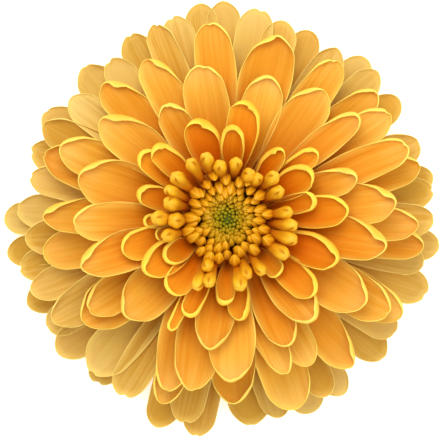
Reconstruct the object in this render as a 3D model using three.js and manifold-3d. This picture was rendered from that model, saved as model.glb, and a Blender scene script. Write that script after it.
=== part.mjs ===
import * as THREE from 'three';
import Module from 'manifold-3d';

// Cremon chrysanthemum bloom, cut on a short stub of stem and lying face up, in mm.
// +Z is the flower's axis, z = 0 the surface that the stub and the lowest petals touch.

const wasm = await Module();
wasm.setup();

const bladeThickness = 0.6;
const axisOffset = [2.2, -0.1];
const eyeOffset = [-0.8, 0]; // from the petals' axis to the middle of the eye and clubs
const stubRadius = 3;
const receptacleRadius = 6.4;
const receptacleTop = 24.8;
const seatGap = 0.45;
const bractsPerRow = 11;
const innerClubCount = 24;
const eyeBudCount = 52;
const goldenAngle = 2.39996;
const drawSeed = 7;

// One row a petal: azimuth of its tip in degrees, reach from the axis, width, side that rolls in
// (1 is all on the anticlockwise margin, -1 all on the clockwise one) and lean of its root in degrees.
const innerPetals = [
  [13, 23.5, 5.5, -0.7], [31, 25.5, 8.5, 0.6], [55, 24, 6, 0.7], [88, 25, 6.5, 0], [107, 29, 9.5, -0.8],
  [135, 28, 7, -0.5], [144.5, 30.5, 7, 0.5], [163.5, 26, 6.5, 0], [181, 23, 4, 0], [193, 20.5, 4, 0],
  [195, 30.5, 8.5, -0.9], [210, 27.5, 9.5, -0.8], [211, 20.5, 6.5, 0], [230, 25.5, 8, -0.3],
  [241.5, 34.5, 3.5, 0, -2], [246.5, 28.5, 5.5, 0.7], [266, 23, 5.5, -0.3], [277, 28, 6.5, 0.9],
  [312, 20, 5, 0.3], [319.5, 30.5, 8.5, 0.9], [340, 31.5, 9.5, 0.5], [5, 32.5, 9, 0.3], [39, 30, 6, 0.6],
  [81, 32.5, 9, -0.8],
];
const middlePetals = [
  [20, 36.5, 8, 0.6], [119, 36.5, 9, -0.3], [261, 36.5, 10.5, 0], [309.5, 36, 11, 0.2], [295, 38.5, 10, 0.2],
  [222, 39.5, 13, -0.3], [75, 41.5, 11, 0.2], [7, 46, 11.5, 0.2], [39, 45.5, 8, 0.5], [55, 44, 12, 0.6],
  [101, 43.5, 12, -0.2], [141, 45, 12, -1], [163, 43.5, 14, -0.3], [181, 43, 10.5, -0.2], [197, 43, 11, -0.2],
  [212.5, 46.5, 11, -0.2], [271, 45, 12.5, 0], [290, 45.5, 8.5, 0.2, -14], [299, 46, 9.5, 0.1],
  [328.5, 44, 13.5, 0.3], [351, 43.5, 11.5, 0.6], [257, 48.5, 12, 0, -12], [249.5, 50.5, 10, -0.2, -22],
  [116.5, 50, 10.5, -0.8], [156.5, 51, 11.5, -0.3], [214.5, 49.5, 14, -0.2], [271.5, 51, 12.5, 0.1],
  [329.5, 51, 12, 0.2], [310.5, 52.5, 11, 0.8], [132, 51.5, 11, -0.8], [178.5, 51.5, 10, -0.2],
  [190.5, 52.5, 11.5, -0.2], [358.5, 52, 10, 0.2], [34, 53, 10, 0.2], [22, 53, 9.5, 0.2], [56, 53, 10, 0.2],
  [75.5, 53, 14, 0.1], [95.5, 55, 11, 0], [161, 54.5, 11.5, 0.6], [16, 54.5, 10, 0.2], [249.5, 54, 10, 0],
  [289.5, 55.5, 13.5, 0.5], [352.5, 54, 10, 0.2], [331, 54.5, 10.5, 0.1], [41, 54, 9.5, 0.2],
];
const outerPetals = [
  [0, 56.5, 9.5], [8, 57, 9.5], [12, 57.5, 9.5], [22, 56.5, 11], [35.5, 57.5, 10], [45, 58, 9],
  [49.5, 58.5, 10], [58, 56, 9], [66.5, 57, 9.5], [75, 57, 10], [82.5, 59, 10.5], [92, 60.5, 10],
  [98, 60.5, 9.5], [105.5, 58.5, 9.5], [111, 58, 8.5], [118.5, 58.5, 10], [127, 55.5, 9.5], [134, 58.5, 12],
  [143, 55.5, 9.5], [150.5, 59.5, 10.5], [153, 58, 10], [160.5, 58.5, 9.5], [168, 56.5, 9.5], [177.5, 59, 10],
  [180, 62.5, 9.5], [185.5, 57, 10.5], [189, 62.5, 9.5], [193.5, 60, 9.5], [200, 58.5, 10], [203, 61, 9.5],
  [209.5, 56.5, 11.5], [211, 59, 9.5], [218, 60.5, 11], [228, 57.5, 13], [230, 59, 9.5], [238, 57.5, 10.5],
  [250.5, 61, 10.5], [257, 58, 10], [261, 61, 10], [276, 57.5, 13], [284, 56.5, 10], [293, 58.5, 10.5],
  [299, 56, 9.5], [303, 58, 9], [318, 57.5, 11], [325.5, 55.5, 10], [339.5, 58.5, 10.5], [347, 55, 9],
  [352.5, 58.5, 9],
];

// Wreath of club florets: azimuth in degrees and reach of the knob from the middle of the eye.
const wreath = [
  [6, 16], [28, 15.4], [42, 16.5], [53, 13.5], [64, 13.2], [81, 15], [98, 14.2], [109, 17], [123, 17.3],
  [141, 17.2], [154, 16.9], [164.5, 15.8], [179.5, 18.4], [182, 14], [196, 16.6], [246, 19], [247, 13.8],
  [254, 17.4], [281, 17.8], [289.5, 15.6], [303, 16.4], [328, 17.4], [342, 17.7], [354, 17.1],
];

// Each turn of petals: its table, the form of its uppermost and lowest petals (those between are mixed
// by their place in the stack), the grid of its blades, and the collar of joined floret bases below.
// root: radius and height where the blade leaves the collar; rise, fall, hood: slope in degrees at the
// root, the change of slope along the blade and along the tip; channel: half angle of the cross-section
// at the root and further out; roll: angle of the turned-in margin and its width in mm; restsAt: height
// of the tips of the lowest petals, which droop onto the surface.
const turns = {
  inner_ray_florets: {
    petals: innerPetals, color: 0xef8a12,
    upper: { root: [9.9, 24.2], rise: 54, fall: -28, hood: 70, channel: [80, 56], roll: [70, 2] },
    lower: { root: [10.3, 22.7], rise: 48, fall: -34, hood: 55, channel: [75, 46], roll: [60, 2.2] },
    hoodShare: 0.2, rows: [0, 0.4, 0.68, 0.86, 1], columns: [-1, -0.55, 0, 0.55, 1],
    collar: [5.4, 10.8, 21.6, 24.8],
  },
  middle_ray_florets: {
    petals: middlePetals, color: 0xf09a30,
    upper: { root: [10, 20], rise: 37, fall: -37, hood: 30, channel: [60, 32], roll: [50, 2] },
    lower: { root: [10.6, 18], rise: 21, fall: -39, hood: 20, channel: [60, 28], roll: [40, 2] },
    hoodShare: 0.14, rows: [0, 0.34, 0.7, 1], columns: [-1, 0, 1],
    collar: [6.85, 11.2, 17.2, 21.2],
  },
  outer_ray_florets: {
    petals: outerPetals, color: 0xf2b04c,
    upper: { root: [11.4, 15.9], rise: 13, fall: -34, hood: 12, channel: [55, 24], roll: [24, 2] },
    lower: { root: [11.8, 13.8], rise: 4, fall: -36, hood: 8, channel: [55, 22], roll: [20, 2] },
    hoodShare: 0.12, rows: [0, 0.34, 0.7, 1], columns: [-1, 0, 1], restsAt: -0.5,
    collar: [6.85, 12.4, 12.9, 16.8],
  },
};

const radians = THREE.MathUtils.degToRad;
const mix = THREE.MathUtils.lerp;
const clamp = THREE.MathUtils.clamp;

// A seeded draw from 0 to 1 for item i, the same on every run.
function draw(i, kind) {
  const x = Math.sin((i + 1) * 12.9898 + (kind + drawSeed) * 78.233) * 43758.5453;
  return x - Math.floor(x);
}

function solidOf(vertices, triangles) {
  return new wasm.Manifold(new wasm.Mesh({
    numProp: 3,
    vertProperties: new Float32Array(vertices.flatMap((p) => p.toArray())),
    triVerts: new Uint32Array(triangles.flat()),
  }));
}

// The largest body of a union, with hollows that its parts shut in filled and loose scraps dropped.
function joined(solids) {
  const bodies = wasm.Manifold.union(solids).decompose();
  return bodies.reduce((best, body) => (body.volume() > best.volume() ? body : best));
}

// Closed body between two grids of points, front and back, with the same diagonals on both.
function sheetBody(front, back) {
  const rows = front.length, columns = front[0].length, size = rows * columns;
  const at = (i, j) => i * columns + j;
  const triangles = [];
  for (let i = 0; i + 1 < rows; i++) {
    for (let j = 0; j + 1 < columns; j++) {
      const [a, b, c, d] = [at(i, j), at(i + 1, j), at(i + 1, j + 1), at(i, j + 1)];
      triangles.push([a, b, c], [a, c, d], [a + size, c + size, b + size], [a + size, d + size, c + size]);
    }
  }
  const rim = [];
  for (let i = 0; i < rows - 1; i++) rim.push(at(i, 0));
  for (let j = 0; j < columns - 1; j++) rim.push(at(rows - 1, j));
  for (let i = rows - 1; i > 0; i--) rim.push(at(i, columns - 1));
  for (let j = columns - 1; j > 0; j--) rim.push(at(0, j));
  rim.forEach((a, k) => {
    const b = rim[(k + 1) % rim.length];
    triangles.push([a, a + size, b + size], [a, b + size, b]);
  });
  return solidOf([...front.flat(), ...back.flat()], triangles);
}

// Point of a path in the r-z plane made of arcs, each [length, turn], after a run x: [r, z, slope].
function alongArcs(root, rise, arcs, x) {
  let [r, z] = root, slope = rise, left = x;
  arcs.forEach(([length, turn], k) => {
    const run = k < arcs.length - 1 ? Math.min(left, length) : left;
    const bend = turn / length, next = slope + bend * run;
    r += (Math.sin(next) - Math.sin(slope)) / bend;
    z -= (Math.cos(next) - Math.cos(slope)) / bend;
    slope = next;
    left -= run;
  });
  return [r, z, slope];
}

// Place of each petal in its turn's stack, 0 lowest to 1 uppermost: one step above every longer petal
// that it overlaps.
function stackPlaces(petals) {
  const step = new Map();
  const longestFirst = [...petals].sort((a, b) => b[1] - a[1]);
  for (const petal of longestFirst) {
    const below = [...step.keys()].filter((other) => {
      const apart = Math.abs(((petal[0] - other[0] + 540) % 360) - 180);
      return apart < THREE.MathUtils.radToDeg((petal[2] + other[2]) / 2 / (petal[1] * 0.85));
    });
    step.set(petal, below.length ? 1 + Math.max(...below.map((other) => step.get(other))) : 0);
  }
  const most = Math.max(...step.values());
  return petals.map((petal) => step.get(petal) / most);
}

// The measures of one petal, from its row in the table and its place in the stack.
function petalForm(row, turn, place, index) {
  const [azimuth, reach, width, side = 0, lean = 0] = row;
  const between = (key) => mix(turn.lower[key], turn.upper[key], place);
  const pairs = (key) => turn.lower[key].map((a, k) => mix(a, turn.upper[key][k], place));
  const root = pairs('root'), rise = radians(between('rise')), fall = radians(between('fall'));
  const hood = radians(between('hood')), channel = pairs('channel').map(radians);
  const [rollTurn, rollWidth] = pairs('roll');
  const share = turn.hoodShare, end = rise + fall;
  const bladeRun = (1 - share) * (Math.sin(end) - Math.sin(rise)) / fall;
  const hoodRun = share * (Math.sin(Math.min(Math.PI / 2, end + hood)) - Math.sin(end)) / hood;
  const roll = radians(rollTurn), rollLoss = rollWidth * (1 - Math.sin(Math.min(roll, 1.57)) / roll);
  const length = (reach - root[0]) / (bladeRun + hoodRun) + rollLoss;
  const arcs = [[length * (1 - share), fall], [length * share, hood]];
  const flatWidth = width * channel[1] / Math.sin(channel[1]) + 2 * rollLoss;
  return {
    azimuth: radians(azimuth), lean: radians(lean), root, rise, channel, roll, rollWidth, side,
    arcs, length, width: flatWidth, tipLength: Math.min(0.68 * flatWidth, 0.34 * length),
    droop: turn.restsAt && place === 0 ? alongArcs(root, rise, arcs, length)[1] - turn.restsAt : 0,
    twist: radians(mix(-3, 3, draw(index, 1))),
  };
}

// Half width of the flat petal at a run x: a narrow claw that widens along a quarter sine.
function halfWidth(form, x) {
  const s = clamp(x / (0.66 * form.length), 0, 1);
  return form.width / 2 * mix(0.16, 1, Math.sin(s * Math.PI / 2) ** 1.35);
}

// Flat petal at grid place (u, v), with its distance from the margin and the way out to it. Rows up to
// the tip run straight across; the tip is a square bent into half an ellipse.
function flatPlace(form, u, v) {
  const tipShare = 0.34, start = form.length - form.tipLength, half = form.width / 2;
  if (u <= 1 - tipShare) {
    const x = start * u / (1 - tipShare), w = halfWidth(form, x);
    return { x, y: v * w, margin: w * (1 - Math.abs(v)), out: [0, Math.sign(v)] };
  }
  const p = (u - 1 + tipShare) / tipShare;
  const e = [p * Math.sqrt(1 - v * v / 2), v * Math.sqrt(1 - p * p / 2)];
  const level = Math.hypot(...e), slope = [e[0] / form.tipLength, e[1] / half];
  const steep = Math.hypot(...slope) || 1;
  return {
    x: start + form.tipLength * e[0], y: half * e[1],
    margin: level ? (1 - level) * level / steep : half, out: slope.map((g) => g / steep),
  };
}

// Petal surface at (u, v): the flat petal with its margin rolled up, bent into a channel along the path.
function petalPoint(form, u, v) {
  const { x, y, margin, out } = flatPlace(form, u, v);
  const favour = 1 + form.side * out[1] * 0.6, turn = form.roll * favour * clamp(x / form.length * 2, 0, 1);
  const into = Math.max(0, form.rollWidth - margin), radius = form.rollWidth / Math.max(turn, 0.05);
  const shift = radius * Math.sin(into / radius) - into, lift = radius * (1 - Math.cos(into / radius));
  const fx = x + out[0] * shift, fy = y + out[1] * shift;
  const [r, z, slope] = alongArcs(form.root, form.rise, form.arcs, fx);
  const s = clamp(fx / form.length, 0, 1);
  const open = mix(form.channel[0], form.channel[1], THREE.MathUtils.smoothstep(s, 0, 0.45));
  const bend = open / halfWidth(form, fx);
  const azimuth = form.azimuth + form.lean * (1 - s) ** 2;
  const sideways = -2 * form.lean * (1 - s) / form.length * r;
  const radial = new THREE.Vector3(Math.cos(azimuth), Math.sin(azimuth), 0);
  const forward = radial.clone().multiplyScalar(Math.cos(slope))
    .addScaledVector(new THREE.Vector3(-radial.y, radial.x, 0), sideways).normalize();
  const across = new THREE.Vector3(-forward.y, forward.x, 0).normalize();
  const tangent = new THREE.Vector3(forward.x, forward.y, Math.sin(slope)).normalize();
  if (Math.cos(slope) < 0) across.negate();
  const up = tangent.clone().cross(across).normalize();
  across.applyAxisAngle(tangent, form.twist * s);
  up.applyAxisAngle(tangent, form.twist * s);
  const normal = up.clone().multiplyScalar(Math.cos(bend * fy)).addScaledVector(across, -Math.sin(bend * fy));
  return radial.multiplyScalar(r).setZ(z - form.droop * s * s)
    .addScaledVector(across, Math.sin(bend * fy) / bend)
    .addScaledVector(up, (1 - Math.cos(bend * fy)) / bend)
    .addScaledVector(normal, lift);
}

// Blade of a petal, half its thickness to each side of the surface.
function petalBody(form, turn) {
  const step = 0.01;
  const faces = [1, -1].map((face) => turn.rows.map((u) => turn.columns.map((v) => {
    const su = u > 0.5 ? -step : step, sv = v > 0 ? -step : step;
    const at = petalPoint(form, u, v);
    const along = petalPoint(form, u + su, v).sub(at).multiplyScalar(1 / su);
    const across = petalPoint(form, u, v + sv).sub(at).multiplyScalar(1 / sv);
    return at.addScaledVector(along.cross(across).normalize(), face * bladeThickness / 2);
  })));
  return sheetBody(faces[0], faces[1]);
}

// Closed body through rings of points; a ring of one point is a pole, and without poles the last ring
// joins the first.
function ringBody(rings) {
  const sides = Math.max(...rings.map((ring) => ring.length));
  let first = 0;
  const index = rings.map((ring) => {
    const places = Array.from({ length: sides }, (_, k) => first + (ring.length > 1 ? k : 0));
    first += ring.length;
    return places;
  });
  if (rings[0].length > 1) index.push(index[0]);
  const triangles = [];
  for (let i = 0; i + 1 < index.length; i++) {
    for (let k = 0; k < sides; k++) {
      const n = (k + 1) % sides;
      const [a, b, c, d] = [index[i][k], index[i][n], index[i + 1][n], index[i + 1][k]];
      if (a !== b) triangles.push([a, b, c]);
      if (c !== d) triangles.push([a, c, d]);
    }
  }
  return solidOf(rings.flat(), triangles);
}

// Solid turned from a profile of [radius, height] points that ends on the axis or closes on itself.
function turned(profile, sides) {
  return ringBody(profile.map(([radius, height]) => (
    Array.from({ length: radius ? sides : 1 }, (_, k) => {
      const a = 2 * Math.PI * k / sides;
      return new THREE.Vector3(radius * Math.cos(a), radius * Math.sin(a), height);
    })
  )));
}

// Bud along a path of arcs: a ring of sides at each [share of length, radius], a point where it is 0.
function budBody(azimuth, root, rise, arcs, profile, sides) {
  const length = arcs.reduce((sum, [run]) => sum + run, 0);
  const radial = new THREE.Vector3(Math.cos(azimuth), Math.sin(azimuth), 0);
  const across = new THREE.Vector3(-radial.y, radial.x, 0);
  return ringBody(profile.map(([share, radius]) => {
    const [r, z, slope] = alongArcs(root, rise, arcs, share * length);
    const up = radial.clone().multiplyScalar(-Math.sin(slope)).setZ(Math.cos(slope));
    return Array.from({ length: radius ? sides : 1 }, (_, k) => {
      const a = 2 * Math.PI * (k + 0.5) / sides;
      return radial.clone().multiplyScalar(r).setZ(z).addScaledVector(across, radius * Math.cos(a))
        .addScaledVector(up, radius * Math.sin(a));
    });
  }));
}

function rayFlorets(turn) {
  const [inner, outer, bottom, top] = turn.collar;
  const collar = turned([[inner, bottom], [outer, bottom], [outer, top], [inner, top]], 20);
  const places = stackPlaces(turn.petals);
  const blades = turn.petals.map((row, i) => petalBody(petalForm(row, turn, places[i], i), turn));
  // The lowest petals are pressed flat where they touch the surface below.
  const surface = turned([[0, -20], [90, -20], [90, 0], [0, 0]], 24);
  return joined([collar, ...blades]).subtract(surface);
}

function stemAndReceptacle() {
  return turned([
    [0, 0], [stubRadius, 0], [stubRadius, 8], [receptacleRadius, 12.4],
    [receptacleRadius, 20.5], [4.9, 21.3], [4.9, receptacleTop], [0, receptacleTop],
  ], 24);
}

// Bracts of the involucre: two rows of small blades on a cup under the outer florets.
function involucre() {
  const cup = turned([
    [stubRadius + seatGap, 8.1], [4.6, 7.6], [10.6, 10.6], [11.8, 12.55], [receptacleRadius + 0.5, 12.55],
  ], 22);
  const bracts = [];
  for (let row = 0; row < 2; row++) {
    for (let k = 0; k < bractsPerRow; k++) {
      const azimuth = 2 * Math.PI * (k + row / 2) / bractsPerRow;
      const root = [mix(8.6, 5.4, row), mix(10.3, 8.7, row)];
      const rise = radians(mix(8, 20, row)), length = mix(7.4, 6.4, row);
      const faces = [0.6, 0].map((lift) => [0, 0.55, 1].map((u) => [-1, 0, 1].map((v) => {
        const [r, z] = alongArcs(root, rise, [[length, radians(12)]], u * length);
        const half = [1.9, 2.3, 0.4][Math.round(u * 2)];
        const a = azimuth + v * half / r;
        return new THREE.Vector3(r * Math.cos(a), r * Math.sin(a), z + lift - 0.6 + 0.25 * v * v);
      })));
      bracts.push(sheetBody(faces[0], faces[1]));
    }
  }
  return joined([cup, ...bracts]);
}

// Club florets: an outer wreath with rounded ends leaning out, and pointed ones inside leaning in.
function clubFlorets() {
  const disc = turned([[0, 25.1], [9, 25.1], [8.7, 27.3], [0, 27.3]], 24);
  const clubs = [];
  wreath.forEach(([degrees, reach], i) => {
    const size = mix(0.9, 1.15, draw(i, 2)), rise = radians(mix(60, 47, (reach - 12.5) / 6));
    const length = (reach - 7.4) / (0.84 * Math.cos(rise));
    clubs.push(budBody(radians(degrees), [7.4, 26.3], rise, [[length, radians(mix(-4, 4, draw(i, 4)))]],
      [[0, 0], [0.3, 0.7], [0.8, 1.8 * size], [0.95, 1.4 * size], [1, 0]], 5));
  });
  for (let i = 0; i < innerClubCount; i++) {
    const size = mix(0.85, 1.1, draw(i, 5)), length = mix(9.5, 11.5, draw(i, 6));
    const turn = radians(mix(20, 50, draw(i, 7)));
    clubs.push(budBody(goldenAngle * i, [8, 26.6], radians(60), [[length, turn]],
      [[0, 0], [0.74, 1.5 * size], [1, 0]], 5));
  }
  return joined([disc, ...clubs]);
}

// Eye: closed buds in a golden-angle spiral on a low dome, longer and further out towards its rim.
function eyeBuds() {
  const dome = turned([[0, 27.65], [6.4, 27.65], [5.9, 28.9], [3.2, 30], [0, 30.4]], 18);
  const buds = [];
  for (let i = 0; i < eyeBudCount; i++) {
    const t = Math.sqrt((i + 0.5) / eyeBudCount);
    const root = [5.7 * t, 29.7 - 1.3 * t * t], length = mix(1.8, 6.2, t * t), size = mix(0.55, 1.15, t);
    buds.push(budBody(goldenAngle * i, root, radians(mix(88, 50, t)), [[length, radians(mix(4, 34, t))]],
      [[0, 0], [0.6, size], [1, 0]], 4));
  }
  return joined([dome, ...buds]);
}

function meshOf(name, solid, color, roughness) {
  const { vertProperties, triVerts } = solid.getMesh();
  const geometry = new THREE.BufferGeometry();
  geometry.setAttribute('position', new THREE.BufferAttribute(vertProperties, 3));
  geometry.setIndex(new THREE.BufferAttribute(triVerts, 1));
  geometry.computeVertexNormals();
  const mesh = new THREE.Mesh(geometry, new THREE.MeshStandardMaterial({ color, roughness, metalness: 0 }));
  mesh.name = name;
  return mesh;
}

const bloom = new THREE.Group();
bloom.name = 'bloom';
bloom.position.set(axisOffset[0], axisOffset[1], 0);
bloom.add(meshOf('stem_and_receptacle', stemAndReceptacle(), 0x6f8f3a, 0.6));
bloom.add(meshOf('involucre', involucre(), 0x5f8232, 0.65));
for (const [name, turn] of Object.entries(turns)) bloom.add(meshOf(name, rayFlorets(turn), turn.color, 0.55));
bloom.add(meshOf('club_florets', clubFlorets().translate([...eyeOffset, 0]), 0xf2ae14, 0.5));
bloom.add(meshOf('eye_buds', eyeBuds().translate([...eyeOffset, 0]), 0xa9a51c, 0.6));

export default bloom;
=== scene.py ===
from functools import partial

import bpy
import numpy as np
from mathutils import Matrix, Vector


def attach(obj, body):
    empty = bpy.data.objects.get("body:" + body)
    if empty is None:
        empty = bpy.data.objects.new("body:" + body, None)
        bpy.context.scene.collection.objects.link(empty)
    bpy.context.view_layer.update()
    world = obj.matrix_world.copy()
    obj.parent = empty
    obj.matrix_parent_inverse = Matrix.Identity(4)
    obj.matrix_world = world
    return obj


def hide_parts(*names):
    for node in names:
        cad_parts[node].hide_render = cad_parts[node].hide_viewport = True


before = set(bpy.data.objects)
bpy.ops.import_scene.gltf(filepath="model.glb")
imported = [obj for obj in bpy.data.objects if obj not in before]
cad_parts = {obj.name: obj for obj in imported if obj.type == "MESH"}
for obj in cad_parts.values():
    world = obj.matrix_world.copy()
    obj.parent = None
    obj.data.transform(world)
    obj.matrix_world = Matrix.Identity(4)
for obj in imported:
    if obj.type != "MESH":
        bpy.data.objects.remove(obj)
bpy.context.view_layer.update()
print("frame loaded:", ", ".join(sorted(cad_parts)))

mm = 0.001  # lengths below are in mm unless said otherwise, and the scene is in metres
axisOffset = (2.2, -0.1)  # from the middle of the box to the petals' axis
eyeOffset = (-0.8, 0)  # from the petals' axis to the middle of the eye and of the clubs round it
goldenAngle = 2.39996  # between one floret and the next
drawSeed = 7


# repeatable draw between 0 and 1 for the i-th piece; each kind is a draw of its own
def draw(i, kind):
    x = np.sin((np.asarray(i) + 1) * 12.9898 + (kind + drawSeed) * 78.233) * 43758.5453
    return x - np.floor(x)


# from a at t = 0 to b at t = 1
def mix(a, b, t):
    return a + (b - a) * t


# the i-th piece's own value: variety is the kind of its draw and the range that the draw picks from
def vary(i, variety):
    kind, low, high = variety
    return mix(low, high, draw(i, kind))


# 0 below low and 1 above high, with an S curve between
def smoothstep(x, low, high):
    t = np.clip((x - low) / (high - low), 0, 1)
    return t * t * (3 - 2 * t)


# sRGB hex to the linear values that a shader socket takes
def linear(hexColour):
    c = np.array([int(hexColour[k : k + 2], 16) for k in (1, 3, 5)]) / 255
    c = np.where(c <= 0.04045, c / 12.92, ((c + 0.055) / 1.055) ** 2.4)
    return (*c.tolist(), 1.0)


# a piece from points in mm about the petals' axis, or about the middle of the eye for the clubs and the
# eye, with the values that its material reads at each point
def addPiece(name, points, quads, values, material, replaced, slot):
    mesh = bpy.data.meshes.new(name)
    placed = (points + np.array([*axisOffset, 0])) * mm
    if slot in ("club", "eye"):
        placed = placed + np.array([*eyeOffset, 0]) * mm
    mesh.from_pydata(placed.tolist(), [], quads.tolist())
    for key, value in values.items():
        attribute = mesh.attributes.new(key, "FLOAT", "POINT")
        attribute.data.foreach_set("value", np.asarray(value, np.float32).ravel())
    mesh.shade_smooth()
    mesh.materials.append(material)
    piece = bpy.data.objects.new(name, mesh)
    bpy.context.scene.collection.objects.link(piece)
    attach(piece, "root")
    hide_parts(replaced)
    print(name, "has", len(quads), "faces")


# quads of closed blades: the front and back of count grids and the strip round each rim
def bladeQuads(count, rows, columns):
    size = rows * columns
    grid = np.arange(size).reshape(rows, columns)
    front = np.stack([grid[:-1, :-1], grid[1:, :-1], grid[1:, 1:], grid[:-1, 1:]], -1).reshape(-1, 4)
    back = front[:, ::-1] + size
    rim = np.concatenate([grid[:-1, 0], grid[-1, :-1], grid[:0:-1, -1], grid[0, :0:-1]])
    following = np.roll(rim, -1)
    strip = np.stack([rim, rim + size, following + size, following], -1)
    one = np.concatenate([front, back, strip])
    return (one[None] + (np.arange(count) * 2 * size)[:, None, None]).reshape(-1, 4)


# one row a petal: azimuth of its tip in degrees, reach from the axis, width, side that rolls in
# further, and in degrees the lean of its root and its extra rise
innerPetals = [
    [13, 23.5, 5.5, -0.7], [31, 25.5, 8.5, 0.6, 0, 1], [55, 24, 6, 0.7], [88, 25, 6.5, 0, 0, 5],
    [107, 29, 9.5, -0.8], [135, 28, 7, -0.5, 0, 2], [144.5, 30.5, 7, 0.5], [163.5, 26, 6.5, 0],
    [181, 23, 4, 0], [193, 20.5, 4, 0], [195, 30.5, 8.5, -0.9], [210, 27.5, 9.5, -0.8, 0, 3],
    [211, 20.5, 6.5, 0], [230, 25.5, 8, -0.3], [241.5, 34.5, 3.5, 0, -2],
    [246.5, 28.5, 5.5, 0.7, 0, -1], [266, 23, 5.5, -0.3, 0, 3], [277, 28, 6.5, 0.9],
    [312, 20, 5.5, 0, 0, 5], [319.5, 30.5, 8.5, 0.9], [340, 31.5, 9.5, 0.5], [5, 32.5, 9, 0.3],
    [39, 30, 6, 0.6], [81, 32.5, 9, -0.8, 0, -1],
]
middlePetals = [
    [20, 36.5, 8, 0.6], [119, 36.5, 9, -0.3], [261, 36.5, 10.5, 0], [309.5, 36, 11, 0.2],
    [295, 38.5, 10, 0.2], [222, 39.5, 13, -0.3], [75, 41.5, 11, 0.2], [7, 46, 11.5, 0.2],
    [39, 45.5, 8, 0.5], [55, 44, 12, 0.6], [101, 43.5, 12, -0.2], [141, 45, 12, -1],
    [163, 43.5, 14, -0.3], [181, 43, 10.5, -0.2, 0, 1], [197, 43, 11, -0.2], [212.5, 46.5, 11, -0.2],
    [271, 45, 12.5, 0, 0, 1], [290, 45.5, 8.5, 0.2, -14], [299, 46, 9.5, 0.1], [328.5, 44, 13.5, 0.3],
    [351, 43.5, 11.5, 0.6, 0, -2], [257, 48.5, 12, 0, -12], [249.5, 50.5, 10, -0.2, -22],
    [116.5, 50, 10.5, -0.8], [156.5, 51, 11.5, -0.3], [214.5, 49.5, 14, -0.2, 0, 2],
    [271.5, 51, 12.5, 0.1], [329.5, 51, 12, 0.2], [310.5, 52.5, 11, 0.8], [132, 51.5, 11, -0.8],
    [178.5, 51.5, 10, -0.2], [190.5, 52.5, 11.5, -0.2], [358.5, 52, 10, 0.2], [34, 53, 10, 0.2],
    [22, 53, 9.5, 0.2], [56, 53, 10, 0.2], [75.5, 53, 14, 0.1], [95.5, 55, 11, 0],
    [161, 54.5, 11.5, 0.6], [16, 54.5, 10, 0.2], [249.5, 54, 10, 0], [289.5, 55.5, 13.5, 0.5],
    [352.5, 54, 10, 0.2], [331, 54.5, 10.5, 0.1], [41, 54, 9.5, 0.2],
]
outerPetals = [
    [0, 56.5, 9.5, 0, 0, 1], [8, 57, 9.5], [12, 57.5, 9.5], [22, 56.5, 11], [35.5, 57.5, 10],
    [45, 58, 9], [49.5, 58.5, 10], [58, 56, 9], [66.5, 57, 9.5], [75, 57, 10],
    [82.5, 59, 10.5, 0, 0, 2], [92, 60.5, 10], [98, 60.5, 9.5, 0, 0, -1], [105.5, 58.5, 9.5],
    [111, 58, 8.5], [118.5, 58.5, 10], [127, 55.5, 9.5, 0, 0, 2], [134, 58.5, 12], [143, 55.5, 9.5],
    [150.5, 59.5, 10.5], [153, 58, 10, 0, 0, 1], [160.5, 58.5, 9.5], [168, 56.5, 9.5, 0, 0, 1],
    [177.5, 59, 10, 0, 0, 2], [180, 62.5, 9.5], [185.5, 57, 10.5], [189, 62.5, 9.5, 0, 0, -1],
    [193.5, 60, 9.5, 0, 0, -0.5], [200, 58.5, 10], [203, 61, 9.5], [209.5, 56.5, 11.5],
    [211, 59, 9.5, 0, 0, -1], [218, 60.5, 11], [228, 57.5, 13, 0, 0, 2], [230, 59, 9.5],
    [238, 57.5, 10.5], [250.5, 61, 10.5], [257, 58, 10], [261, 61, 10], [276, 57.5, 13],
    [284, 56.5, 10], [293, 58.5, 10.5], [299, 56, 9.5], [303, 58, 9], [318, 57.5, 11],
    [325.5, 55.5, 10], [339.5, 58.5, 10.5], [347, 55, 9], [352.5, 58.5, 9],
]

# what differs from petal to petal: the kind of its draw and the range, as a factor of the turn's own
# value, in degrees for the twist, and from the midline at 0 to the margin at 1 for places
petalVariety = {
    "channel": (24, 0.75, 1.35), "hood": (14, 0.65, 1.4), "twist": (1, -9, 9), "point": (12, 0, 0.25),
    "closing": (13, 0.8, 1.2), "rollWidth": (20, 0.5, 1.6), "side": (22, -0.3, 0.3),
    "notch": (17, -0.6, 1.4), "notchPlace": (18, -0.4, 0.4), "crease": (15, -0.25, 0.25),
    "creaseDepth": (21, 0, 2), "ripplePhase": (16, 0, 6), "wavePhase": (9, 0, 1),
    "petal": (11, 0, 1), "tone": (23, 0, 1),
}
# what all petals share; a pair of places along a petal, from its root at 0 to its tip at 1, says where
# something starts and where it is complete
blade = {
    "overlapAt": 0.85,  # share of the reach at which the widths of two petals are compared
    "widens": (0.68, 1.35),  # share of the length where the claw is full width, and how late it widens
    "longestTip": 0.36, "tipRows": 0.4,  # share of the length, and of the grid's rows
    "notchWidth": 0.22,  # share of the half width
    "mostRoll": 205, "evenRoll": 0.6,  # degrees, and the share of the roll that is the same all round
    "rollGrows": 2.2, "tipRolls": (0.55, 0.95),  # the roll is full at 1 / 2.2 of the length
    "northern": (0.7, 0.5),  # petals above the eye in the photo roll more towards the top of it
    "channelOpens": (0, 0.45), "foldsRise": (0.08, 0.35), "foldsFade": (0.8, 1.0), "waveRises": (0.3, 0.8),
    "creaseWidth": 0.12,  # share of the half width
    "ripples": (0.3, 5),  # depth against the crease beside them, and half waves from midline to margin
    "waves": (1.3, 1.5),  # number along a margin, and radians that each side is off the midline's phase
    "rimThins": (0.45, 1.2),  # share of the thickness left at the margin, and mm over which it thins
    "lowest": 0.02,  # just clear of the table
}
quarterTurn = 1.57  # radians: a margin rolled further than this gains no more


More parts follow.
